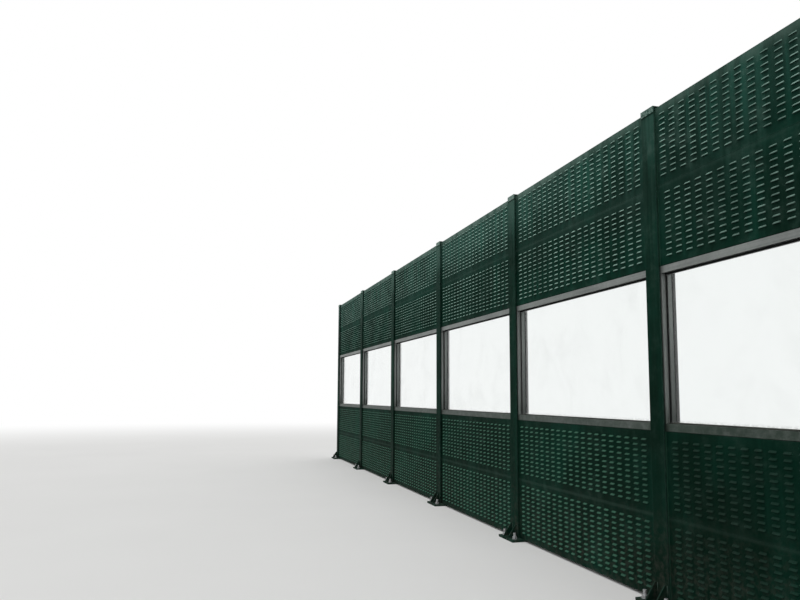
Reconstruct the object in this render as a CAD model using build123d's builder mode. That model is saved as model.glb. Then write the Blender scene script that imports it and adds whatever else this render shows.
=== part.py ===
"""Highway noise barrier: six bays of H-section steel posts with sound-absorbing
metal cassettes below and above a row of clear acrylic windows.

The origin is at the underside of the middle post's base plate. +X runs along
the wall, -Y faces the road and +Z is up. All sizes are in millimetres.
"""
from build123d import *
import os

os.makedirs("parts", exist_ok=True)

# Run of the wall

bay_length = 2000.0
bay_count = 6

# Posts, rolled H-section

flange_width = 125.0
post_depth = 125.0
web_thickness = 6.5
flange_thickness = 9.0
root_radius = 8.0
post_rise = 10.0

# Base plate, anchor holes and welded ribs

plate_length = 280.0
plate_width = 300.0
plate_thickness = 20.0
anchor_pitch_x = 200.0
anchor_pitch_y = 220.0
anchor_hole_radius = 13.0
rib_thickness = 10.0
rib_height = 110.0
rib_toe = 15.0
rib_setback = 8.0
rib_pitch = 90.0

# Metal cassettes

panel_end_gap = 16.75
panel_depth = 96.0
cassette_height = 500.0
cassette_edge_chamfer = 1.5
panel_back_gap = 1.0
tongue_width = 40.0
tongue_height = 10.0
tongue_slope = 75.0
tongue_side_gap = 1.0
tongue_top_gap = 2.0
tongue_setback = 35.0
swage_width = 70.0
swage_depth = 4.0
swage_slope = 45.0
swage_pitch = 170.0

# Window: aluminium frame, acrylic pane and rubber

window_height = 996.0
frame_depth = 78.0
frame_face = 43.5
groove_width = 15.0
groove_depth = 20.0
pane_setback = 36.0
pane_thickness = 12.0
pane_edge_gap = 2.0
seal_show = 9.0
seat_strip_thickness = 3.0
seat_strip_inset = 5.0
packer_width = 36.0
packer_height = 900.0

# Post caps

cap_thickness = 2.5
cap_skirt = 40.0
cap_clearance = 0.5

# Places worked out from the sizes above

run_length = bay_length * bay_count
panel_length = bay_length - web_thickness - 2 * panel_end_gap
post_xs = [run_length / 2 - bay_length * i for i in range(bay_count + 1)]
bay_xs = [run_length / 2 - bay_length * (i + 0.5) for i in range(bay_count)]

flange_back_inner_y = post_depth / 2 - flange_thickness
panel_back_y = flange_back_inner_y - panel_back_gap
panel_front_y = panel_back_y - panel_depth
panel_mid_y = (panel_front_y + panel_back_y) / 2
tongue_y = panel_front_y + tongue_setback

lower_1_z = plate_thickness
lower_2_z = lower_1_z + cassette_height
window_z = lower_2_z + cassette_height + seat_strip_thickness
upper_1_z = window_z + window_height + seat_strip_thickness
upper_2_z = upper_1_z + cassette_height
wall_top_z = upper_2_z + cassette_height
post_top_z = wall_top_z + post_rise

frame_mid_y = panel_front_y + frame_depth / 2
frame_back_y = panel_front_y + frame_depth
pane_y = panel_front_y + pane_setback
window_mid_z = window_z + window_height / 2


def save(part, name):
    """Labels a finished piece and writes it as one STEP file."""
    part.label = name
    export_step(part, f"parts/{name}.step")


def make_post(x):
    """One rolled H-section standing on its base plate."""
    with BuildPart() as post:
        with BuildSketch(Plane.XY.offset(plate_thickness)) as section:
            with Locations((x, 0)):
                Rectangle(web_thickness, post_depth)
            with Locations(
                (x, post_depth / 2 - flange_thickness / 2),
                (x, flange_thickness / 2 - post_depth / 2),
            ):
                Rectangle(flange_width, flange_thickness)
            roots = section.vertices().filter_by(
                lambda v: abs(abs(v.X - x) - web_thickness / 2) < 0.01
                and abs(abs(v.Y) - flange_back_inner_y) < 0.01
            )
            fillet(roots, root_radius)
        extrude(amount=post_top_z - plate_thickness)
    return post.part


def make_base_plate(x):
    """A drilled base plate with two ribs on each flange of the post."""
    rib_length = plate_width / 2 - post_depth / 2 - rib_setback
    with BuildPart() as base:
        with Locations((x, 0, 0)):
            Box(plate_length, plate_width, plate_thickness, align=(Align.CENTER, Align.CENTER, Align.MIN))
        with BuildSketch(Plane.XY) as holes:
            with Locations((x, 0)):
                with GridLocations(anchor_pitch_x, anchor_pitch_y, 2, 2):
                    Circle(anchor_hole_radius)
        extrude(amount=plate_thickness, mode=Mode.SUBTRACT)
        for rib_x in (x - rib_pitch / 2, x + rib_pitch / 2):
            with BuildSketch(Plane.YZ.offset(rib_x)) as rib:
                with BuildLine():
                    Polyline(
                        (post_depth / 2, plate_thickness),
                        (post_depth / 2 + rib_length, plate_thickness),
                        (post_depth / 2 + rib_length, plate_thickness + rib_toe),
                        (post_depth / 2 + rib_toe, plate_thickness + rib_height),
                        (post_depth / 2, plate_thickness + rib_height),
                        close=True,
                    )
                make_face()
                mirror(about=Plane.YZ)
            extrude(amount=rib_thickness / 2, both=True)
    return base.part


def make_cassette(bay_x, z, tongue):
    """A metal cassette: groove below, tongue above where another stands on it, two swages in its back."""
    with BuildPart() as cassette:
        with BuildSketch(Plane.YZ.offset(bay_x - panel_length / 2)) as section:
            with Locations((panel_mid_y, z + cassette_height / 2)):
                Rectangle(panel_depth, cassette_height)
            chamfer(section.vertices(), cassette_edge_chamfer)
            with Locations((tongue_y, z)):
                Trapezoid(
                    tongue_width + 2 * tongue_side_gap,
                    tongue_height + tongue_top_gap,
                    tongue_slope,
                    align=(Align.CENTER, Align.MIN),
                    mode=Mode.SUBTRACT,
                )
            with Locations(
                (panel_back_y, z + cassette_height / 2 - swage_pitch / 2),
                (panel_back_y, z + cassette_height / 2 + swage_pitch / 2),
            ):
                Trapezoid(
                    swage_width,
                    swage_depth,
                    swage_slope,
                    rotation=90,
                    align=(Align.CENTER, Align.MIN),
                    mode=Mode.SUBTRACT,
                )
            if tongue:
                with Locations((tongue_y, z + cassette_height)):
                    Trapezoid(tongue_width, tongue_height, tongue_slope, align=(Align.CENTER, Align.MIN))
        extrude(amount=panel_length)
    return cassette.part


def make_window_frame(bay_x):
    """The aluminium frame, with a groove round its opening for the pane."""
    with BuildPart() as frame:
        with BuildSketch(Plane.XZ.offset(-panel_front_y)) as face:
            with Locations((bay_x, window_mid_z)):
                Rectangle(panel_length, window_height)
                Rectangle(
                    panel_length - 2 * frame_face,
                    window_height - 2 * frame_face,
                    mode=Mode.SUBTRACT,
                )
        extrude(amount=-frame_depth)
        with Locations((bay_x, pane_y, window_mid_z)):
            Box(
                panel_length - 2 * (frame_face - groove_depth),
                groove_width,
                window_height - 2 * (frame_face - groove_depth),
                mode=Mode.SUBTRACT,
            )
    return frame.part


def make_pane(bay_x):
    """The clear acrylic pane."""
    edge = frame_face - groove_depth + pane_edge_gap
    with BuildPart() as pane:
        with Locations((bay_x, pane_y, window_mid_z)):
            Box(panel_length - 2 * edge, pane_thickness, window_height - 2 * edge)
    return pane.part


def make_seal(bay_x):
    """The rubber channel that wraps the pane's edge inside the frame's groove."""
    outer = frame_face - groove_depth
    inner = frame_face + seal_show
    edge = outer + pane_edge_gap
    with BuildPart() as seal:
        with Locations((bay_x, pane_y, window_mid_z)):
            Box(panel_length - 2 * outer, groove_width, window_height - 2 * outer)
            Box(
                panel_length - 2 * inner,
                groove_width,
                window_height - 2 * inner,
                mode=Mode.SUBTRACT,
            )
            Box(
                panel_length - 2 * edge,
                pane_thickness,
                window_height - 2 * edge,
                mode=Mode.SUBTRACT,
            )
    return seal.part


def make_packing(bay_x):
    """Rubber strips under and over one window frame, and a packer behind each end."""
    packer_thickness = flange_back_inner_y - frame_back_y
    packer_x = panel_length / 2 - packer_width / 2
    with BuildPart() as packing:
        with Locations(
            (bay_x, frame_mid_y, window_z - seat_strip_thickness / 2),
            (bay_x, frame_mid_y, window_z + window_height + seat_strip_thickness / 2),
        ):
            Box(panel_length, frame_depth - 2 * seat_strip_inset, seat_strip_thickness)
        with Locations(
            (bay_x - packer_x, frame_back_y + packer_thickness / 2, window_mid_z),
            (bay_x + packer_x, frame_back_y + packer_thickness / 2, window_mid_z),
        ):
            Box(packer_width, packer_thickness, packer_height)
    return packing.part


def make_cap(x):
    """A folded sheet cap with a skirt down the front and the back flange."""
    outer_depth = post_depth + 2 * (cap_clearance + cap_thickness)
    with BuildPart() as cap:
        with BuildSketch(Plane.YZ.offset(x - flange_width / 2)) as section:
            with Locations((0, post_top_z + cap_thickness)):
                Rectangle(outer_depth, cap_skirt, align=(Align.CENTER, Align.MAX))
            with Locations((0, post_top_z)):
                Rectangle(
                    outer_depth - 2 * cap_thickness,
                    cap_skirt,
                    align=(Align.CENTER, Align.MAX),
                    mode=Mode.SUBTRACT,
                )
        extrude(amount=flange_width)
    return cap.part


# Posts, base plates and caps

for number, post_x in enumerate(post_xs, start=1):
    save(make_post(post_x), f"post_{number}")

save(Compound(children=[make_base_plate(post_x) for post_x in post_xs]), "base_plates")
save(Compound(children=[make_cap(post_x) for post_x in post_xs]), "post_caps")

# Cassettes, four to a bay

courses = (
    ("bottom_panel", lower_1_z, True),
    ("lower_panel", lower_2_z, False),
    ("upper_panel", upper_1_z, True),
    ("top_panel", upper_2_z, False),
)
for number, bay_x in enumerate(bay_xs, start=1):
    for course, course_z, has_tongue in courses:
        save(make_cassette(bay_x, course_z, has_tongue), f"{course}_{number}")

# Windows, one to a bay

for number, bay_x in enumerate(bay_xs, start=1):
    save(make_window_frame(bay_x), f"window_frame_{number}")
    save(make_pane(bay_x), f"window_pane_{number}")

save(Compound(children=[make_seal(bay_x) for bay_x in bay_xs]), "pane_seals")
save(Compound(children=[make_packing(bay_x) for bay_x in bay_xs]), "window_packing")
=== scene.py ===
import math

import bmesh
import bpy
from mathutils import Matrix, Vector


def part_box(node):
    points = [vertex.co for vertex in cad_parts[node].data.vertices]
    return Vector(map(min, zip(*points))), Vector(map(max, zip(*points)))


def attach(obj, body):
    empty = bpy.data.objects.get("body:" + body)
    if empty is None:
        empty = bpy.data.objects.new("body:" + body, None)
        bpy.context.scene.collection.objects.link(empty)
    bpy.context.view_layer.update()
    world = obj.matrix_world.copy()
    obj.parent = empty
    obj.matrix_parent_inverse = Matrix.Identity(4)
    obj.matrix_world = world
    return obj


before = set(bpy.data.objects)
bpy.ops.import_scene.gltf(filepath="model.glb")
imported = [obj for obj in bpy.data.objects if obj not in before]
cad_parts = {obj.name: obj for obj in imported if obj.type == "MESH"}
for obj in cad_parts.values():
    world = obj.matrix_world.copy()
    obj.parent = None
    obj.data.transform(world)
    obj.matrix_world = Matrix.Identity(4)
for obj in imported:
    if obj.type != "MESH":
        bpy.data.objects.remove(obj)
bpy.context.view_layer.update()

# Sizes of the wall, in metres. Bay 1 and post 1 are at the near end, where x is largest.

BAY_LENGTH = 2.0
BAY_COUNT = 6
BAY_CENTRES = [BAY_LENGTH * (BAY_COUNT / 2 - 0.5 - i) for i in range(BAY_COUNT)]
POST_PLACES = [BAY_LENGTH * (BAY_COUNT / 2 - i) for i in range(BAY_COUNT + 1)]
COURSES = ("bottom_panel", "lower_panel", "upper_panel", "top_panel")
WALL_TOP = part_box("top_panel_1")[1].z
PANEL_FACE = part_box("top_panel_1")[0].y
CAP_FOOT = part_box("post_caps")[0].z
JOINTS = (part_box("top_panel_1")[0].z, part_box("lower_panel_1")[0].z)

# The frame's bars, the rubber's edge on the sheet, and how far the frame stands off the post's middle

FRAME_BAR = 0.0435
FRAME_AND_RUBBER = 0.0525
FRAME_END = 0.020
TOP_RAIL_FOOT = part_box("window_frame_1")[1].z - FRAME_BAR
LOW_RAIL_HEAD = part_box("window_frame_1")[0].z + FRAME_BAR
SHEET_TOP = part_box("window_frame_1")[1].z - FRAME_AND_RUBBER
SHEET_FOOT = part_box("window_frame_1")[0].z + FRAME_AND_RUBBER
SEAL_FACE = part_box("pane_seals")[0].y
BEHIND_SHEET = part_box("window_pane_1")[1].y

# One pressed louvre: its sizes, how fine its mesh is, and how square its ends and how flat its slopes are

LOUVRE_HALF_WIDTH = 0.0236
LOUVRE_HEIGHT = 0.0120
LOUVRE_DEPTH = 0.0105
LOUVRE_SUNK = 0.0004
LIP_THICKNESS = 0.0010
SLOT_DEPTH = 0.0060
SLOT_TAPER = (0.90, 0.55, 1.0)
LOUVRE_SEGMENTS = 12
LOUVRE_RINGS = 8
END_SQUARENESS = 8.0
SLOPE_FLATNESS = 0.65

# The field of louvres on a cassette

LOUVRE_COLUMNS = 20
LOUVRE_ROWS = 12
COLUMN_PITCH = 0.090
ROW_PITCH = 0.0352
FIRST_ROW = 0.0505

# How far a cassette's field of louvres sits off its usual place, along the wall and upwards

FIELD_SHIFTS = {
    "top_panel_1": (-0.025, 0.0008),
    "upper_panel_1": (0.003, -0.0023),
    "top_panel_2": (0.005, 0.0040),
    "upper_panel_2": (-0.001, -0.0005),
    "lower_panel_2": (-0.010, 0.0),
    "top_panel_3": (-0.002, 0.0010),
    "upper_panel_3": (0.004, -0.0045),
}

# Foundation bolts: where they stand, and the turned or six-sided block that each of their parts is

PLATE_TOP = 0.020
BOLT_PITCH_X = 0.200
BOLT_PITCH_Y = 0.220
WASHER_TOP = PLATE_TOP + 0.004
STUD = {"radius": 0.0115, "bottom": 0.001, "top": 0.072, "sides": 16, "bevel": 0.0015}
WASHER = {"radius": 0.022, "bottom": PLATE_TOP, "top": WASHER_TOP, "sides": 20, "bevel": 0.0006}
NUT = {"radius": 0.0415 / 2, "bottom": WASHER_TOP, "top": WASHER_TOP + 0.019, "sides": 6, "bevel": 0.0018}

# Weld beads where the ribs and the post meet the base plate, and how far short of a rib's edges they stop

BEAD_RADIUS = 0.0045
BEAD_SIDES = 8
SHORT_OF_RIB_END = 0.001
SHORT_OF_RIB_HEAD = 0.002
RIB_PITCH = 0.090
RIB_THICKNESS = 0.010
RIB_HEIGHT = 0.110
RIB_LENGTH = 0.0795
FLANGE_FACE = 0.0625
FLANGE_HALF_WIDTH = 0.0625

# Rivets along the long edges of each cassette's back sheet

RIVET_RADIUS = 0.0045
RIVET_DOME = 0.42
RIVET_SUNK = 0.0003
RIVET_SEGMENTS = 10
RIVET_RINGS = 6
RIVET_COUNT = 13
RIVET_PITCH = 0.155
RIVET_INSET = 0.016

# Colours of the green paint, of what lies on it and of the light and shade painted on it, linear

DEEP_GREEN = (0.0035, 0.0175, 0.0110)
FRESH_GREEN = (0.0035, 0.0330, 0.0210)
# Dark wet patches, and painted shade: low on the wall, beside the posts, under the caps and on the flanges'
# edges at the back
WET_AND_SHADED_GREEN = (0.0012, 0.0088, 0.0046)
CHALKY_GREEN = (0.0150, 0.0400, 0.0310)
BRIGHT_TEAL = (0.0130, 0.0740, 0.0520)
# Painted shade on the louvres' downward faces and in their slots
UNDERSIDE_SHADE = (0.0008, 0.0030, 0.0020)
BLEACHED_MINT = (0.1950, 0.2800, 0.2450)
DUST_GREEN = (0.0480, 0.0980, 0.0780)
GREY_DUST = (0.0950, 0.1550, 0.1300)
FILM_DUST = (0.0640, 0.1720, 0.1390)
# Moss dust, and the painted light in the posts' grooves
MOSS_DUST_AND_LIGHT = (0.0420, 0.1300, 0.0850)
MINT_GREY = (0.1150, 0.2250, 0.1800)
# Pale dust and the painted sheen of the sky on the louvres
PALE_DUST_AND_SHEEN = (0.4100, 0.6450, 0.5500)
ROAD_DIRT = (0.0500, 0.0480, 0.0400)

# Colours of the window: its aluminium, its sheet and its rubber, and the light and shade painted on them

DULL_METAL = (0.138, 0.153, 0.146)
BARE_METAL = (0.200, 0.220, 0.210)
DIE_LINE = (0.340, 0.345, 0.340)
METAL_OXIDE = (0.120, 0.135, 0.125)
METAL_GRIME = (0.022, 0.038, 0.028)
# Painted light on the bars' inner faces
LIT_REVEAL_METAL = (0.340, 0.360, 0.350)
REAR_METAL = (0.030, 0.036, 0.033)
SHADED_METAL = (0.010, 0.014, 0.012)
MITRE_LINE = (0.012, 0.014, 0.013)
RUBBER_SMEAR = (0.0045, 0.0050, 0.0047)
CLEAN_SHEET = (0.90, 0.93, 0.92)
SHEET_FILM = (0.42, 0.44, 0.42)
# Grime and painted shade on the sheet under the top rubber
SHEET_GRIME_AND_SHADE = (0.020, 0.024, 0.021)
CLEAN_RUBBER = (0.0040, 0.0045, 0.0042)
DUSTY_RUBBER = (0.026, 0.028, 0.026)
DRIED_SILT = (0.078, 0.084, 0.074)

# Colours of the bolts and of the floor

DARK_ZINC = (0.26, 0.27, 0.28)
BRIGHT_ZINC = (0.42, 0.43, 0.43)
RUST = (0.1100, 0.0430, 0.0180)
FLOOR_GREY = (0.80, 0.80, 0.79)
FLOOR_PALE = (0.84, 0.84, 0.83)
WHITE = (1.0, 1.0, 1.0)

# How each mark, of age and of painted light and shade alike, changes along the wall: between two values of x,
# and its share at each

ALONG = {
    "film": (3.6, 4.2, 0.045, 0.008),
    "far film": (-1.0, 1.0, 0.035, 0.0),
    "depth": (3.4, 4.4, 0.25, 0.50),
    "settled": (0.8, 4.6, 1.0, 0.30),
    "settled far": (-0.6, 0.2, 0.20, 1.0),
    "matt": (-1.0, 3.0, 0.34, 0.0),
    "top strip": (1.5, 4.4, 2.6, 1.0),
    "joint": (3.5, 4.5, 0.11, 0.055),
    "groove": (1.0, 3.6, 0.0, 0.90),
    "post shade": (0.0, 4.0, 0.60, 0.22),
    "moss": (3.2, 4.4, 0.80, 0.04),
    "blown_and_sheen": (3.0, 4.6, 1.0, 0.56),
    "blown far": (-5.0, 1.0, 0.74, 1.0),
    "pale post": (0.5, 4.5, 1.40, 0.28),
    "bleached": (1.5, 3.8, 0.35, 0.0),
    "grime": (3.4, 4.6, 0.84, 0.97),
}

# The same up the wall, between two heights

HEIGHT = {
    "chalk": (1.8, 3.1, 0.05, 1.0),
    "washed": (2.50, 2.80, 0.0, 0.55),
    "greyed": (2.50, 2.85, 0.14, 0.42),
    "streaks": (1.9, 2.9, 0.25, 1.0),
    "settled": (2.56, 2.92, 0.0, 1.0),
    "settled film": (2.94, 3.00, 0.31, 0.0),
    "film": (2.44, 2.50, 0.0, 1.0),
    "far film": (2.56, 2.64, 1.0, 0.0),
    "depth": (0.95, 1.95, 1.0, 0.0),
    "dust": (0.9, 2.1, 0.20, 1.0),
    "splash": (0.0, 0.75, 1.0, 0.0),
    "matt foot": (2.04, 2.09, 0.25, 1.0),
    "matt head": (2.45, 2.62, 1.0, 0.30),
    "top strip": (WALL_TOP - 0.085, WALL_TOP - 0.012, 0.0, 1.0),
    "top rim": (WALL_TOP - 0.004, WALL_TOP - 0.001, 0.0, 0.6),
    "moss": (0.95, 1.90, 1.0, 0.0),
    "blown_and_sheen": (1.95, 2.75, 0.64, 1.10),
    "rained": (2.86, 2.99, 1.0, 0.62),
    "dust_and_sky_sheen": (1.50, 1.95, 0.0, 1.0),
    "pale post": (2.60, 2.98, 0.0, 1.0),
    "cap shade and grime": (CAP_FOOT - 0.017, CAP_FOOT - 0.003, 0.0, 0.85),
    "below cap": (CAP_FOOT, CAP_FOOT + 0.001, 1.0, 0.0),
    "grime": (1.05, 1.32, 1.0, 0.0),
    "rear": (1.10, 1.80, 0.60, 0.0),
    "sheet foot": (1.066, 1.100, 1.0, 0.0),
    "sheet head": (SHEET_TOP - 0.0035, SHEET_TOP - 0.0010, 0.0, 1.0),
    "silt": (SHEET_FOOT, SHEET_FOOT + 0.001, 1.0, 0.0),
    "silt edge": (SHEET_FOOT - 0.0085, SHEET_FOOT - 0.0065, 0.25, 1.0),
}

# The same across the wall, from the road side to the back

ACROSS = {
    "washed": (-0.02, 0.03, 1.0, 0.45),
    "louvre lip": (PANEL_FACE - LOUVRE_DEPTH + 0.0005, PANEL_FACE - LOUVRE_DEPTH + 0.0060, 0.60, 1.12),
    "front flange": (-0.04, 0.0, 1.0, 0.0),
    "shaded back flange": (0.035, 0.050, 0.0, 0.85),
    "behind sheet": (BEHIND_SHEET - 0.002, BEHIND_SHEET, 0.0, 1.0),
    "beside seal": (SEAL_FACE - 0.0060, SEAL_FACE - 0.0052, 0.0, 1.0),
}

# The same with the distance from the middle of the nearest post

FROM_POST = {
    "groove": (0.052, 0.066, 1.0, 0.0),
    "shade starts": (0.064, 0.070, 0.0, 1.0),
    "shade ends": (0.090, 0.130, 1.0, 0.0),
    "front edge": (0.0590, 0.0622, 0.0, 1.0),
    "back edge": (0.0600, 0.0624, 0.0, 1.0),
    "jamb": (FRAME_END + FRAME_BAR + 0.0001, FRAME_END + FRAME_BAR + 0.0003, 1.0, 0.0),
}

# The same with the tilt of the surface: 1 faces the sky and -1 the ground

TILT = {
    "dust": (0.10, 0.50, 0.0, 1.0),
    "moss": (0.20, 0.65, 0.0, 1.0),
    "dust_and_sky_sheen": (0.22, 0.72, 0.16, 1.0),
    "clinging": (0.05, 0.25, 0.0, 1.0),
    "underside": (-0.9, -0.3, 0.9, 0.0),
    "rail underside": (-0.9, -0.3, 0.92, 0.0),
}

# Dust below each joint between two cassettes, and the bare chamfers of the joint itself

JOINT_DUST_DROP = 0.007
JOINT_DUST = (0.002, 0.019, 1.0, 0.0)
JOINT_CHAMFER = (0.0016, 0.0024, 0.65, 0.0)

# The floor, and the distances from the wall's middle between which it fades to white

FLOOR_RADIUS = 60.0
FLOOR_SIDES = 64
FLOOR_FADE = (10.0, 26.0)

# Light: the sky's strength on the wall and as it is seen, and the soft sun

SKY_ON_WALL = 0.55
SKY_SEEN = 1.0
SUN_STRENGTH = 1.3
SUN_WIDTH = math.radians(60)
SUN_DIRECTION = (-0.35, 0.60, -1.0)

# The camera: its place in metres, its angles in degrees, and its lens in pixels of the photograph

CAMERA_PLACE = (7.6507, -2.7356, 1.2239)
CAMERA_YAW = 73.890
CAMERA_PITCH = 5.680
CAMERA_ROLL = 0.261
PHOTO_WIDTH = 800.0
FOCAL_LENGTH_PIXELS = 696.67
SHIFT_UP_PIXELS = 26.77
SENSOR_WIDTH = 36.0
FARTHEST_SEEN = 200.0

# The shader's inputs under plain names

SHADER_SOCKETS = {
    "colour": "Base Color",
    "roughness": "Roughness",
    "metal": "Metallic",
    "normal": "Normal",
    "specular": "Specular IOR Level",
    "ior": "IOR",
    "clear": "Transmission Weight",
}


def piece_from(name, bm):
    """Makes a finished object at the origin from a bmesh."""
    mesh = bpy.data.meshes.new(name)
    bm.to_mesh(mesh)
    bm.free()
    piece = bpy.data.objects.new(name, mesh)
    bpy.context.collection.objects.link(piece)
    return piece


def finish_piece(piece, material):
    """Gives a piece its material and puts it on the wall's one body."""
    piece.data.materials.append(material)
    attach(piece, "root")


class Tree:
    """Builds a node tree in plain steps."""

    def __init__(self, tree):
        self.tree = tree

    def new(self, kind):
        return self.tree.nodes.new(f"ShaderNode{kind}")

    def join(self, out, into):
        self.tree.links.new(out, into)

    def feed(self, socket, value):
        """Links a socket to another, or sets it to a number or a colour."""
        if isinstance(value, bpy.types.NodeSocket):
            self.join(value, socket)
        elif isinstance(value, tuple):
            socket.default_value = value + (1.0,) * (len(socket.default_value) - len(value))
        else:
            socket.default_value = value

    def calc(self, operation, first, second=0.0, third=0.0):
        node = self.new("Math")
        node.operation = operation
        for socket, value in zip(node.inputs, (first, second, third)):
            self.feed(socket, value)
        return node.outputs["Value"]

    def times(self, first, *others):
        """The product of two or more values."""
        product = first
        for other in others:
            product = self.calc("MULTIPLY", product, other)
        return product

    def span(self, value, low, high, to_low=0.0, to_high=1.0):
        """Maps a value smoothly from one span to another, and holds it at the ends."""
        node = self.new("MapRange")
        node.interpolation_type = "SMOOTHSTEP"
        names = ("Value", "From Min", "From Max", "To Min", "To Max")
        for name, number in zip(names, (value, low, high, to_low, to_high)):
            self.feed(node.inputs[name], number)
        return node.outputs["Result"]

    def seen(self):
        """One for a ray from the camera, off a gloss or through a clear sheet, and zero for any other."""
        rays = self.new("LightPath").outputs
        direct = self.calc("MAXIMUM", rays["Is Camera Ray"], rays["Is Glossy Ray"])
        return self.calc("MAXIMUM", direct, rays["Is Transmission Ray"])


class Finish(Tree):
    """Builds one material. Its places run along the wall, across it and up, in metres."""

    def __init__(self, name):
        self.material = bpy.data.materials.new(name)
        self.material.use_nodes = True
        super().__init__(self.material.node_tree)
        self.tree.nodes.clear()
        self.surface = self.new("OutputMaterial").inputs["Surface"]
        self.shader = self.new("BsdfPrincipled")
        self.join(self.shader.outputs["BSDF"], self.surface)
        self.place = self.new("TexCoord").outputs["Object"]
        self.along, self.across, self.height = self.parts(self.place)

    def parts(self, vector):
        node = self.new("SeparateXYZ")
        self.join(vector, node.inputs["Vector"])
        return node.outputs["X"], node.outputs["Y"], node.outputs["Z"]

    def facing(self):
        """The outward direction of the surface: along the wall, across it and up."""
        return self.parts(self.new("NewGeometry").outputs["Normal"])

    def from_post(self):
        """The distance along the wall from the middle of the nearest post, below zero on its far side."""
        return self.calc("WRAP", self.along, BAY_LENGTH / 2, -BAY_LENGTH / 2)

    def by_along(self, mark):
        return self.span(self.along, *ALONG[mark])

    def by_height(self, mark, share=1.0):
        low, high, at_low, at_high = HEIGHT[mark]
        return self.span(self.height, low, high, at_low * share, at_high * share)

    def by_across(self, mark):
        return self.span(self.across, *ACROSS[mark])

    def by_post(self, mark):
        return self.span(self.calc("ABSOLUTE", self.from_post()), *FROM_POST[mark])

    def by_tilt(self, mark):
        return self.span(self.facing()[2], *TILT[mark])

    def noise(self, scale, detail=3.0, roughness=0.5, stretch=None, distortion=0.0):
        """Cloudy noise over the piece, or with its own scale along each axis."""
        node = self.new("TexNoise")
        node.inputs["Scale"].default_value = scale
        node.inputs["Detail"].default_value = detail
        node.inputs["Roughness"].default_value = roughness
        node.inputs["Distortion"].default_value = distortion
        place = self.place
        if stretch:
            mapping = self.new("Mapping")
            mapping.inputs["Scale"].default_value = stretch
            self.join(self.place, mapping.inputs["Vector"])
            place = mapping.outputs["Vector"]
        self.join(place, node.inputs["Vector"])
        return node.outputs["Fac"]

    def patches(self, low, high, to_low=0.0, to_high=1.0, **noise):
        """Noise mapped from one span to another."""
        return self.span(self.noise(**noise), low, high, to_low, to_high)

    def specks(self, scale, low, high):
        """Scattered round specks, one in the middle of each and zero between them."""
        node = self.new("TexVoronoi")
        node.inputs["Scale"].default_value = scale
        self.join(self.place, node.inputs["Vector"])
        return self.span(node.outputs["Distance"], low, high, 1.0, 0.0)

    def layered(self, colour, *layers):
        """A colour with others laid over it in turn, each by its share."""
        for share, layer in layers:
            node = self.new("Mix")
            node.data_type = "RGBA"
            self.feed(node.inputs[0], share)
            self.feed(node.inputs[6], colour)
            self.feed(node.inputs[7], layer)
            colour = node.outputs[2]
        return colour

    def bump(self, height, distance, strength, below=None):
        node = self.new("Bump")
        node.inputs["Distance"].default_value = distance
        node.inputs["Strength"].default_value = strength
        self.feed(node.inputs["Height"], height)
        if below is not None:
            self.join(below, node.inputs["Normal"])
        return node.outputs["Normal"]

    def finish(self, **sockets):
        for name, value in sockets.items():
            self.feed(self.shader.inputs[SHADER_SOCKETS[name]], value)
        return self.material


def settled(n):
    """Where fine dust has settled on the top course: most in the third bay, little at either end."""
    return n.times(n.by_along("settled"), n.by_along("settled far"), n.by_height("settled"))


def dust_film(n):
    """The thin dust film on the upper courses: what has settled, and a trace on the metal between fields."""
    trace = n.times(n.by_along("film"), n.by_height("film"))
    film = n.calc("MAXIMUM", n.times(settled(n), n.by_height("settled film")), trace)
    far = n.times(n.by_along("far film"), n.by_height("film"), n.by_height("far film"))
    return n.calc("ADD", film, far)


def aged_green(n, chalk, streaks):
    """Green coating in patches, chalky towards the top, streaked by rain, and darker low on the wall towards
    the near end as painted shade.
    """
    fresh = n.patches(0.38, 0.66, scale=1.7, detail=4.0, roughness=0.55, distortion=0.6)
    clouds = n.patches(0.35, 0.65, scale=0.75, detail=2.0)
    washed = n.patches(0.42, 0.66, scale=1.0, roughness=0.6, stretch=(13.0, 13.0, 0.7), distortion=0.3)
    exposed = n.times(n.by_height("washed"), n.by_across("washed"))
    blotches = n.noise(9.0, detail=5.0, roughness=0.7)
    runs = n.patches(0.44, 0.70, scale=1.0, roughness=0.6, stretch=(42.0, 42.0, 0.9))
    haze = n.patches(0.45, 0.80, scale=55.0, detail=5.0, roughness=0.75)
    few = n.patches(0.52, 0.70, scale=9.0)
    return n.layered(
        DEEP_GREEN,
        (fresh, FRESH_GREEN),
        (n.times(n.by_height("chalk"), clouds, chalk), CHALKY_GREEN),
        (n.times(washed, exposed), BRIGHT_TEAL),
        (n.span(blotches, 0.28, 0.46, 0.40, 0.0), WET_AND_SHADED_GREEN),
        (n.times(n.span(blotches, 0.48, 0.74), n.by_height("greyed")), GREY_DUST),
        (n.times(runs, n.by_height("streaks", streaks)), DUST_GREEN),
        (n.span(washed, 0.0, 0.6, 0.30, 0.0), WET_AND_SHADED_GREEN),
        (n.times(haze, 0.08), DUST_GREEN),
        (n.times(n.specks(190.0, 0.08, 0.22), few, 0.30), MINT_GREY),
        (dust_film(n), FILM_DUST),
        # Painted shade: darker low on the wall, most towards the near end
        (n.times(n.by_height("depth"), n.by_along("depth")), WET_AND_SHADED_GREEN),
    )


def dusted_and_splashed(n, colour, dust_and_top_light):
    """Pale dust and painted top light on what faces up, less of both low on the wall, and road dirt thrown up
    near the ground.
    """
    thick = n.patches(0.34, 0.60, 0.55, 1.0, scale=5.0, roughness=0.6)
    thrown = n.patches(0.40, 0.72, scale=22.0, detail=5.0, roughness=0.7)
    return n.layered(
        colour,
        # Pale dust and painted top light on upward faces
        (n.times(n.by_tilt("dust"), thick, n.by_height("dust", dust_and_top_light)), MINT_GREY),
        (n.times(n.by_height("splash"), thrown, 0.55), ROAD_DIRT),
    )


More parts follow.
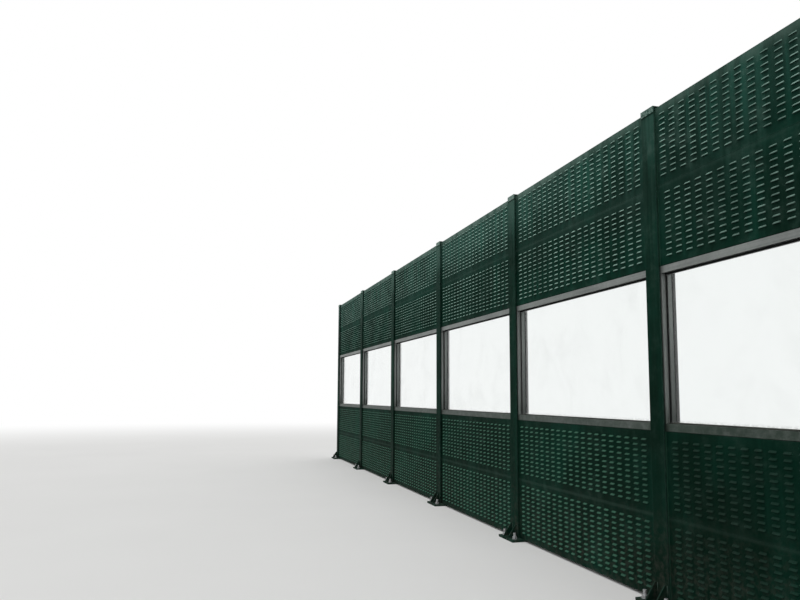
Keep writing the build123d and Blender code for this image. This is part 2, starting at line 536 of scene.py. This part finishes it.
def gone_matt(n):
    """Extra roughness of the sheets away from the near end, most of it on the upper course."""
    by_height = n.times(n.by_height("matt foot"), n.by_height("matt head"))
    return n.times(n.by_along("matt"), by_height)


def coated(n, colour, gloss, matt=0.0):
    """The surface of the coating: uneven sheen, orange peel and slight waves in the sheet."""
    uneven = n.patches(0.30, 0.72, 0.42, 0.64, scale=38.0, detail=4.0, roughness=0.65)
    peel = n.bump(n.noise(420.0, detail=2.0), 0.00012, 0.5)
    waves = n.bump(n.noise(4.5, detail=1.0), 0.0035, 0.35, peel)
    return n.finish(colour=colour, roughness=n.calc("ADD", uneven, matt), normal=waves, specular=gloss)


def cassette_paint():
    """The cassettes' coating, dusty along the wall's top edge and below each joint, with dust and painted
    light in the posts' grooves and painted shade beside each post.
    """
    n = Finish("cassette_paint")
    uneven = n.patches(
        0.34, 0.62, 0.15, 0.50, scale=1.0, detail=4.0, roughness=0.65, stretch=(11.0, 11.0, 3.0)
    )
    uneven = n.times(uneven, n.by_along("top strip"))
    colour = n.layered(
        aged_green(n, 0.75, 0.09),
        (n.times(n.by_height("top strip"), uneven), GREY_DUST),
        (n.by_height("top rim"), WET_AND_SHADED_GREEN),
    )
    for joint in JOINTS:
        below = n.calc("ABSOLUTE", n.calc("SUBTRACT", n.height, joint - JOINT_DUST_DROP))
        caught = n.times(n.span(below, *JOINT_DUST), n.by_along("joint"))
        colour = n.layered(colour, (caught, GREY_DUST))
    # Painted shade on the sheet just beside each post, on its near side
    shade = n.times(
        n.span(n.from_post(), *FROM_POST["shade starts"]),
        n.span(n.from_post(), *FROM_POST["shade ends"]),
        n.by_along("post shade"),
    )
    colour = n.layered(
        colour,
        # Dust and painted light on the sheet in the posts' grooves, behind the flanges
        (n.times(n.by_post("groove"), n.by_along("groove")), MOSS_DUST_AND_LIGHT),
        (shade, WET_AND_SHADED_GREEN),
    )
    dusty = dusted_and_splashed(n, colour, 0.35)
    for joint in JOINTS:
        from_joint = n.calc("ABSOLUTE", n.calc("SUBTRACT", n.height, joint))
        dusty = n.layered(dusty, (n.span(from_joint, *JOINT_CHAMFER), colour))
    return coated(n, dusty, 0.010, gone_matt(n))


def louvre_paint():
    """The same coating on the louvres, with pale dust and a painted sheen of the sky where they slope least,
    and painted shade on their undersides.
    """
    n = Finish("louvre_paint")
    mossy = n.times(n.by_tilt("moss"), n.by_along("moss"), n.by_height("moss"))
    # How much pale dust and painted sheen the louvres take along the wall and up it
    blown_and_sheen = n.times(n.by_along("blown_and_sheen"), n.by_height("blown_and_sheen"))
    blown_and_sheen = n.calc("ADD", blown_and_sheen, n.times(settled(n), 0.52))
    blown_and_sheen = n.times(blown_and_sheen, n.by_along("blown far"), n.by_height("rained"))
    # Pale dust and a painted sheen of the sky on the upward slopes, with painted shade towards the lip and
    # left darker low on the wall as painted shade
    dust_and_sky_sheen = n.times(
        n.by_tilt("dust_and_sky_sheen"),
        n.by_tilt("clinging"),
        n.patches(0.34, 0.62, 0.58, 1.05, scale=2.6, detail=4.0, roughness=0.65),
        n.patches(0.30, 0.62, 0.62, 1.08, scale=210.0, detail=4.0, roughness=0.7),
        n.patches(0.36, 0.60, 0.78, 1.15, scale=24.0, detail=2.0),
        n.by_across("louvre lip"),
        n.by_height("dust_and_sky_sheen"),
    )
    colour = n.layered(
        aged_green(n, 0.75, 0.09),
        (mossy, MOSS_DUST_AND_LIGHT),
        (n.times(dust_and_sky_sheen, blown_and_sheen), PALE_DUST_AND_SHEEN),
        # Painted shade on the downward faces, the slots' roofs among them
        (n.by_tilt("underside"), UNDERSIDE_SHADE),
    )
    return coated(n, colour, 0.07, gone_matt(n))


def post_paint(name, dust_and_top_light, gloss):
    """The posts' green paint: streaked, pale near the top, with grime and painted shade under the cap, rubbed
    on the front edges of the flanges and with painted shade on the edges at the back.
    """
    n = Finish(name)
    uneven = n.patches(
        0.32, 0.64, 0.40, 0.90, scale=1.0, detail=4.0, roughness=0.65, stretch=(60.0, 60.0, 2.0)
    )
    worn = n.patches(0.35, 0.65, 0.09, 0.30, scale=16.0, detail=4.0, roughness=0.7)
    colour = n.layered(
        aged_green(n, 0.70, 0.25),
        (0.25, WET_AND_SHADED_GREEN),
        (n.times(n.by_height("pale post"), n.by_along("pale post"), uneven), DUST_GREEN),
        # Grime and painted shade in a band under the cap
        (n.times(n.by_height("cap shade and grime"), n.by_height("below cap")), WET_AND_SHADED_GREEN),
        (n.times(n.by_post("front edge"), worn, n.by_across("front flange")), DUST_GREEN),
        # Painted shade on the edges of the flange at the back
        (n.times(n.by_across("shaded back flange"), n.by_post("back edge")), WET_AND_SHADED_GREEN),
    )
    return coated(n, dusted_and_splashed(n, colour, dust_and_top_light), gloss)


def cap_paint():
    """The caps' green paint, bleached to mint in mottled patches, more so towards the far end."""
    n = Finish("cap_paint")
    mottled = n.patches(0.36, 0.62, 0.12, 0.80, scale=48.0, roughness=0.7)
    bleached = n.calc("MINIMUM", n.calc("ADD", mottled, n.by_along("bleached")), 1.0)
    colour = n.layered(aged_green(n, 0.60, 0.30), (bleached, BLEACHED_MINT))
    return coated(n, dusted_and_splashed(n, colour, 0.45), 0.02)


def frame_metal():
    """Weathered drawn aluminium: die lines along each bar, fine corner joints, grime on the lower rail,
    painted light on the inner faces that face along the wall and painted shade on the undersides.
    """
    n = Finish("frame_metal")
    jamb = n.times(
        n.by_post("jamb"),
        n.calc("LESS_THAN", n.height, TOP_RAIL_FOOT),
        n.calc("GREATER_THAN", n.height, LOW_RAIL_HEAD),
    )
    drawn_up = n.noise(1.0, roughness=0.6, stretch=(260.0, 260.0, 2.0))
    drawn_along = n.noise(1.0, roughness=0.6, stretch=(2.0, 260.0, 260.0))
    lines = n.calc("ADD", n.times(drawn_up, jamb), n.times(drawn_along, n.calc("SUBTRACT", 1.0, jamb)))
    below_rail = n.calc("SUBTRACT", TOP_RAIL_FOOT, n.height)
    above_rail = n.calc("SUBTRACT", n.height, LOW_RAIL_HEAD)
    joint = n.times(jamb, n.span(n.calc("MINIMUM", below_rail, above_rail), 0.0004, 0.0011, 0.9, 0.0))
    oxide = n.patches(0.48, 0.76, scale=26.0, detail=5.0, roughness=0.72)
    caked = n.patches(0.22, 0.62, 0.65, 1.0, scale=14.0, detail=5.0, roughness=0.7)
    # Painted light: faces that look along the wall, the bars' inner faces, are lighter
    lit_inner_faces = n.span(n.calc("ABSOLUTE", n.facing()[0]), 0.5, 0.9, 0.0, 0.24)
    smeared = n.times(
        n.by_across("beside seal"),
        jamb,
        n.calc("LESS_THAN", n.across, BEHIND_SHEET),
        n.calc("LESS_THAN", n.along, BAY_LENGTH),
    )
    colour = n.layered(
        DULL_METAL,
        (n.patches(0.32, 0.70, scale=3.2, detail=4.0, roughness=0.6), BARE_METAL),
        (n.span(lines, 0.35, 0.70, 0.0, 0.30), DIE_LINE),
        (n.times(oxide, 0.35), METAL_OXIDE),
        (n.times(n.by_height("grime"), caked, n.by_along("grime")), METAL_GRIME),
        (lit_inner_faces, LIT_REVEAL_METAL),
        (n.times(n.by_across("behind sheet"), n.by_height("rear")), REAR_METAL),
        (n.by_tilt("rail underside"), SHADED_METAL),
        (smeared, RUBBER_SMEAR),
        (joint, MITRE_LINE),
    )
    roughness = n.patches(0.30, 0.72, 0.42, 0.62, scale=48.0, detail=4.0, roughness=0.7)
    drawn = n.bump(lines, 0.00025, 0.35)
    return n.finish(colour=colour, roughness=roughness, metal=0.55, specular=0.2, normal=drawn)


def clear_acrylic():
    """Clear acrylic sheet: a thin dried film, fine specks, drops at its foot, grime and painted shade under
    the top rubber.
    """
    n = Finish("clear_acrylic")
    film = n.patches(0.42, 0.78, 0.0, 0.10, scale=2.3, detail=5.0, roughness=0.6, distortion=0.5)
    drops = n.patches(0.35, 0.65, scale=60.0, detail=4.0, roughness=0.7)
    gathered = n.times(n.by_height("sheet foot"), drops)
    sprinkled = n.times(n.specks(115.0, 0.12, 0.30), n.patches(0.50, 0.72, 0.0, 0.16, scale=7.0))
    dirty = n.calc("MAXIMUM", n.calc("MAXIMUM", film, n.times(gathered, 0.45)), sprinkled)
    # Grime and painted shade on the sheet just under the top rubber, which is also less clear there
    grime_and_shade_under_rubber = n.by_height("sheet head")
    colour = n.layered(CLEAN_SHEET, (dirty, SHEET_FILM), (n.times(grime_and_shade_under_rubber, 0.9), SHEET_GRIME_AND_SHADE))
    clear = n.times(n.span(dirty, 0.0, 1.0, 0.98, 0.25), n.span(grime_and_shade_under_rubber, 0.0, 1.0, 1.0, 0.1))
    roughness = n.span(dirty, 0.0, 0.6, 0.015, 0.40)
    return n.finish(colour=colour, roughness=roughness, clear=clear, ior=1.49, specular=0.25)


def black_rubber(name):
    """Black rubber, dull and a little dusty, with dried silt on what lies below the sheet's foot."""
    n = Finish(name)
    dusty = n.patches(0.42, 0.80, 0.0, 0.4, scale=45.0, detail=5.0, roughness=0.7)
    caked = n.patches(0.30, 0.62, 0.55, 1.0, scale=18.0, detail=4.0, roughness=0.7)
    silted = n.times(n.by_height("silt"), caked, n.by_height("silt edge"))
    colour = n.layered(CLEAN_RUBBER, (dusty, DUSTY_RUBBER), (silted, DRIED_SILT))
    roughness = n.patches(0.3, 0.7, 0.60, 0.82, scale=90.0)
    pebbled = n.bump(n.noise(650.0), 0.0002, 0.4)
    return n.finish(colour=colour, roughness=roughness, specular=0.08, normal=pebbled)


def galvanised_steel():
    """Hot dip galvanised bolts with crystal patches, a rolled thread and some rust."""
    n = Finish("bolt_steel")
    spangle = n.noise(170.0, detail=2.0)
    stained = n.times(n.patches(0.50, 0.70, scale=60.0, detail=5.0, roughness=0.7), 0.5)
    colour = n.layered(DARK_ZINC, (spangle, BRIGHT_ZINC), (stained, RUST))
    thread = n.new("TexWave")
    thread.bands_direction = "Z"
    thread.inputs["Scale"].default_value = 105.0
    n.join(n.place, thread.inputs["Vector"])
    rolled = n.bump(thread.outputs["Fac"], 0.0006, 0.5)
    return n.finish(colour=colour, roughness=n.span(spangle, 0.2, 0.8, 0.38, 0.62), metal=0.75, normal=rolled)


def dress_nodes(finishes):
    """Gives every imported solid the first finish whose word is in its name."""
    for name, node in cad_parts.items():
        for word, material in finishes.items():
            if word in name:
                for slot in node.material_slots:
                    slot.material = material
                break


def louvre():
    """One pressed louvre at the origin: a long hood with round ends over a slot that opens downwards."""
    bm = bmesh.new()
    bmesh.ops.create_uvsphere(bm, u_segments=LOUVRE_SEGMENTS, v_segments=LOUVRE_RINGS, radius=1.0)
    bmesh.ops.rotate(bm, verts=bm.verts, cent=(0, 0, 0), matrix=Matrix.Rotation(math.pi / 2, 3, "Y"))
    for plane in ((0, 0, -1), (0, 1, 0)):
        bmesh.ops.bisect_plane(
            bm,
            geom=bm.verts[:] + bm.edges[:] + bm.faces[:],
            dist=0.0001,
            plane_co=(0, 0, 0),
            plane_no=plane,
            clear_outer=True,
        )
    square_hood(bm)
    bmesh.ops.remove_doubles(bm, verts=bm.verts, dist=0.001)
    for face in bm.faces:
        face.smooth = True
    lip = [e for e in bm.edges if e.is_boundary and all(abs(v.co.z) < 0.001 for v in e.verts)]
    root = [e for e in bm.edges if e.is_boundary and e not in lip]
    ends = sorted((v for v in bm.verts if abs(abs(v.co.x) - 1.0) < 0.001), key=lambda v: v.co.x)
    straight = bm.edges.new(ends)
    under = bmesh.ops.contextual_create(bm, geom=lip + [straight])["faces"]
    bmesh.ops.contextual_create(bm, geom=root + [straight])
    for edge in lip + root + [straight]:
        edge.smooth = False
    bmesh.ops.scale(bm, verts=bm.verts, vec=(LOUVRE_HALF_WIDTH, LOUVRE_DEPTH, LOUVRE_HEIGHT))
    bmesh.ops.recalc_face_normals(bm, faces=bm.faces)
    sink_slot(bm, under)
    for vert in bm.verts:
        if abs(vert.co.y) < 0.0001:
            vert.co.y += LOUVRE_SUNK
    return bm


def square_hood(bm):
    """Draws the round hood out to squarer ends and flatter slopes."""
    for vert in bm.verts:
        across = math.hypot(vert.co.y, vert.co.z)
        if across > 0.001:
            along = math.sqrt(abs(vert.co.x))
            full = (1.0 - along ** END_SQUARENESS) ** (1.0 / END_SQUARENESS)
            flat = 1.0 / (abs(vert.co.y) + vert.co.z)
            slope = full * (SLOPE_FLATNESS * flat + (1.0 - SLOPE_FLATNESS) / across)
            vert.co = (math.copysign(along, vert.co.x), vert.co.y * slope, vert.co.z * slope)


def sink_slot(bm, under):
    """Sinks a tapered slot into the louvre's underside, inside its lip."""
    walls = bmesh.ops.inset_region(bm, faces=under, thickness=LIP_THICKNESS, use_even_offset=True)["faces"]
    floor = list({v for face in under for v in face.verts})
    bmesh.ops.translate(bm, verts=floor, vec=(0, 0, SLOT_DEPTH))
    bmesh.ops.scale(bm, verts=floor, vec=SLOT_TAPER)
    for face in under + walls:
        face.smooth = False


def repeated(piece, count_x, pitch_x, count_z, pitch_z):
    """The mesh of a piece repeated in rows and columns about its middle column."""
    for count, offset in ((count_x, (pitch_x, 0, 0)), (count_z, (0, 0, pitch_z))):
        array = piece.modifiers.new("array", "ARRAY")
        array.count = count
        array.use_relative_offset = False
        array.use_constant_offset = True
        array.constant_offset_displace = offset
    bpy.context.view_layer.update()
    shown = piece.evaluated_get(bpy.context.evaluated_depsgraph_get())
    mesh = bpy.data.meshes.new_from_object(shown)
    mesh.transform(Matrix.Translation((-pitch_x * (count_x - 1) / 2, 0, 0)))
    bpy.data.objects.remove(piece)
    return mesh


def build_louvres(paint):
    """A field of louvres on the front of every cassette."""
    field = repeated(piece_from("louvre", louvre()), LOUVRE_COLUMNS, COLUMN_PITCH, LOUVRE_ROWS, ROW_PITCH)
    for course in COURSES:
        for number, bay_x in enumerate(BAY_CENTRES, start=1):
            panel = f"{course}_{number}"
            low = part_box(panel)[0]
            along, lift = FIELD_SHIFTS.get(panel, (0.0, 0.0))
            mesh = field.copy()
            mesh.transform(Matrix.Translation((bay_x + along, low.y, low.z + FIRST_ROW + lift)))
            piece = bpy.data.objects.new(panel.replace("panel", "louvres"), mesh)
            bpy.context.collection.objects.link(piece)
            finish_piece(piece, paint)
    bpy.data.meshes.remove(field)


def block(bm, place, radius, bottom, top, sides, bevel):
    """A round or many-sided block standing at a place, its rims eased by the bevel."""
    made = bmesh.ops.create_cone(
        bm,
        cap_ends=True,
        segments=sides,
        radius1=radius,
        radius2=radius,
        depth=top - bottom,
        matrix=Matrix.Translation((place[0], place[1], (top + bottom) / 2)),
    )["verts"]
    rims = {e for v in made for e in v.link_edges if abs(e.verts[0].co.z - e.verts[1].co.z) < 0.0001}
    bmesh.ops.bevel(bm, geom=list(rims), offset=bevel, segments=1, profile=0.5, affect="EDGES", material=-1)


def build_bolts(steel):
    """Foundation bolts with washers and nuts, four on each base plate."""
    bm = bmesh.new()
    for post_x in POST_PLACES:
        for side_x in (-0.5, 0.5):
            for side_y in (-0.5, 0.5):
                place = (post_x + side_x * BOLT_PITCH_X, side_y * BOLT_PITCH_Y)
                for part in (STUD, WASHER, NUT):
                    block(bm, place, **part)
    bmesh.ops.recalc_face_normals(bm, faces=bm.faces)
    finish_piece(piece_from("foundation_bolts", bm), steel)


def bead(bm, start, end):
    """A rounded weld bead between two points, half sunk into the corner that it fills."""
    start = Vector(start)
    end = Vector(end)
    turn = (end - start).to_track_quat("Z", "Y").to_matrix().to_4x4()
    bmesh.ops.create_cone(
        bm,
        cap_ends=True,
        segments=BEAD_SIDES,
        radius1=BEAD_RADIUS,
        radius2=BEAD_RADIUS,
        depth=(end - start).length,
        matrix=Matrix.Translation((start + end) / 2) @ turn,
    )


def build_welds(paint):
    """Weld beads along both sides of every rib and along the faces of the post's foot."""
    bm = bmesh.new()
    rib_head = PLATE_TOP + RIB_HEIGHT - SHORT_OF_RIB_HEAD
    for post_x in POST_PLACES:
        for face_y in (-1, 1):
            near = face_y * FLANGE_FACE
            far = face_y * (FLANGE_FACE + RIB_LENGTH - SHORT_OF_RIB_END)
            left = post_x - FLANGE_HALF_WIDTH
            right = post_x + FLANGE_HALF_WIDTH
            bead(bm, (left, near, PLATE_TOP), (right, near, PLATE_TOP))
            for rib in (-0.5, 0.5):
                for side in (-0.5, 0.5):
                    rib_x = post_x + rib * RIB_PITCH + side * RIB_THICKNESS
                    bead(bm, (rib_x, near, PLATE_TOP), (rib_x, far, PLATE_TOP))
                    bead(bm, (rib_x, near, PLATE_TOP), (rib_x, near, rib_head))
    for face in bm.faces:
        face.smooth = len(face.verts) == 4
    finish_piece(piece_from("foot_welds", bm), paint)


def rivet():
    """One domed rivet head at the origin, cut flat and closed where it meets the sheet."""
    bm = bmesh.new()
    bmesh.ops.create_uvsphere(bm, u_segments=RIVET_SEGMENTS, v_segments=RIVET_RINGS, radius=RIVET_RADIUS)
    bmesh.ops.scale(bm, verts=bm.verts, vec=(1.0, RIVET_DOME, 1.0))
    bmesh.ops.bisect_plane(
        bm,
        geom=bm.verts[:] + bm.edges[:] + bm.faces[:],
        dist=0.00001,
        plane_co=(0, -RIVET_SUNK, 0),
        plane_no=(0, -1, 0),
        clear_outer=True,
    )
    bmesh.ops.holes_fill(bm, edges=[e for e in bm.edges if e.is_boundary], sides=0)
    bmesh.ops.recalc_face_normals(bm, faces=bm.faces)
    for face in bm.faces:
        face.smooth = len(face.verts) < 5
    return bm


def build_rivets(paint):
    """Rows of domed rivets along the long edges of every cassette's back sheet."""
    low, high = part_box("top_panel_1")
    between_rows = high.z - low.z - 2 * RIVET_INSET
    rows = repeated(piece_from("rivet", rivet()), RIVET_COUNT, RIVET_PITCH, 2, between_rows)
    for number, bay_x in enumerate(BAY_CENTRES, start=1):
        joined = bmesh.new()
        for course in COURSES:
            low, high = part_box(f"{course}_{number}")
            copy = rows.copy()
            copy.transform(Matrix.Translation((bay_x, high.y, low.z + RIVET_INSET)))
            joined.from_mesh(copy)
            bpy.data.meshes.remove(copy)
        finish_piece(piece_from(f"back_rivets_{number}", joined), paint)
    bpy.data.meshes.remove(rows)


def build_floor():
    """A wide pale floor that fades to white far from the wall."""
    bm = bmesh.new()
    bmesh.ops.create_circle(bm, cap_ends=True, segments=FLOOR_SIDES, radius=FLOOR_RADIUS)
    floor = piece_from("floor", bm)
    n = Finish("pale_floor")
    colour = n.layered(FLOOR_GREY, (n.noise(0.6), FLOOR_PALE))
    floor.data.materials.append(n.finish(colour=colour, roughness=0.9, specular=0.0))
    away = n.calc("SQRT", n.calc("ADD", n.calc("POWER", n.along, 2.0), n.calc("POWER", n.across, 2.0)))
    white = n.new("Emission")
    n.feed(white.inputs["Color"], WHITE)
    blend = n.new("MixShader")
    n.join(n.times(n.seen(), n.span(away, *FLOOR_FADE)), blend.inputs["Fac"])
    n.join(n.shader.outputs["BSDF"], blend.inputs[1])
    n.join(white.outputs["Emission"], blend.inputs[2])
    n.join(blend.outputs["Shader"], n.surface)


def build_light():
    """Overcast studio light: an even sky and a very wide soft sun from above the road."""
    world = bpy.data.worlds.new("sky")
    bpy.context.scene.world = world
    world.use_nodes = True
    background = world.node_tree.nodes["Background"]
    sky = Tree(world.node_tree)
    sky.feed(background.inputs["Color"], WHITE)
    sky.join(sky.span(sky.seen(), 0.0, 1.0, SKY_ON_WALL, SKY_SEEN), background.inputs["Strength"])
    lamp = bpy.data.lights.new("sun", "SUN")
    lamp.energy = SUN_STRENGTH
    lamp.angle = SUN_WIDTH
    sun = bpy.data.objects.new("sun", lamp)
    sun.rotation_euler = Vector(SUN_DIRECTION).to_track_quat("-Z", "Y").to_euler()
    bpy.context.collection.objects.link(sun)


def build_camera():
    """The photograph's camera, solved from the posts, rails and panel joints."""
    yaw, pitch, roll = (math.radians(a) for a in (CAMERA_YAW, CAMERA_PITCH, CAMERA_ROLL))
    level = Vector((-math.sin(yaw), math.cos(yaw), 0))
    right = Vector((math.cos(yaw), math.sin(yaw), 0))
    forward = math.cos(pitch) * level + math.sin(pitch) * Vector((0, 0, 1))
    up = math.cos(pitch) * Vector((0, 0, 1)) - math.sin(pitch) * level
    across = math.cos(roll) * right + math.sin(roll) * up
    upright = math.cos(roll) * up - math.sin(roll) * right
    turn = Matrix((across, upright, -forward)).transposed()
    data = bpy.data.cameras.new("camera")
    data.sensor_width = SENSOR_WIDTH
    data.lens = FOCAL_LENGTH_PIXELS / PHOTO_WIDTH * SENSOR_WIDTH
    data.shift_y = SHIFT_UP_PIXELS / PHOTO_WIDTH
    data.clip_end = FARTHEST_SEEN
    camera = bpy.data.objects.new("camera", data)
    camera.matrix_world = Matrix.Translation(CAMERA_PLACE) @ turn.to_4x4()
    bpy.context.collection.objects.link(camera)
    bpy.context.scene.camera = camera


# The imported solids' finishes

sheet_paint = cassette_paint()
steel_paint = post_paint("post_paint", 0.35, 0.010)
dress_nodes(
    {
        "caps": cap_paint(),
        "post": steel_paint,
        "base_plates": steel_paint,
        "_panel_": sheet_paint,
        "window_frame": frame_metal(),
        "window_pane": clear_acrylic(),
        "seals": black_rubber("seal_rubber"),
        "packing": black_rubber("packing_rubber"),
    }
)

# The pieces that only the scene has

build_louvres(louvre_paint())
build_bolts(galvanised_steel())
build_welds(post_paint("weld_paint", 0.45, 0.15))
build_rivets(sheet_paint)

# Floor, light and camera

build_floor()
build_light()
build_camera()
bpy.context.scene.view_settings.view_transform = "Standard"
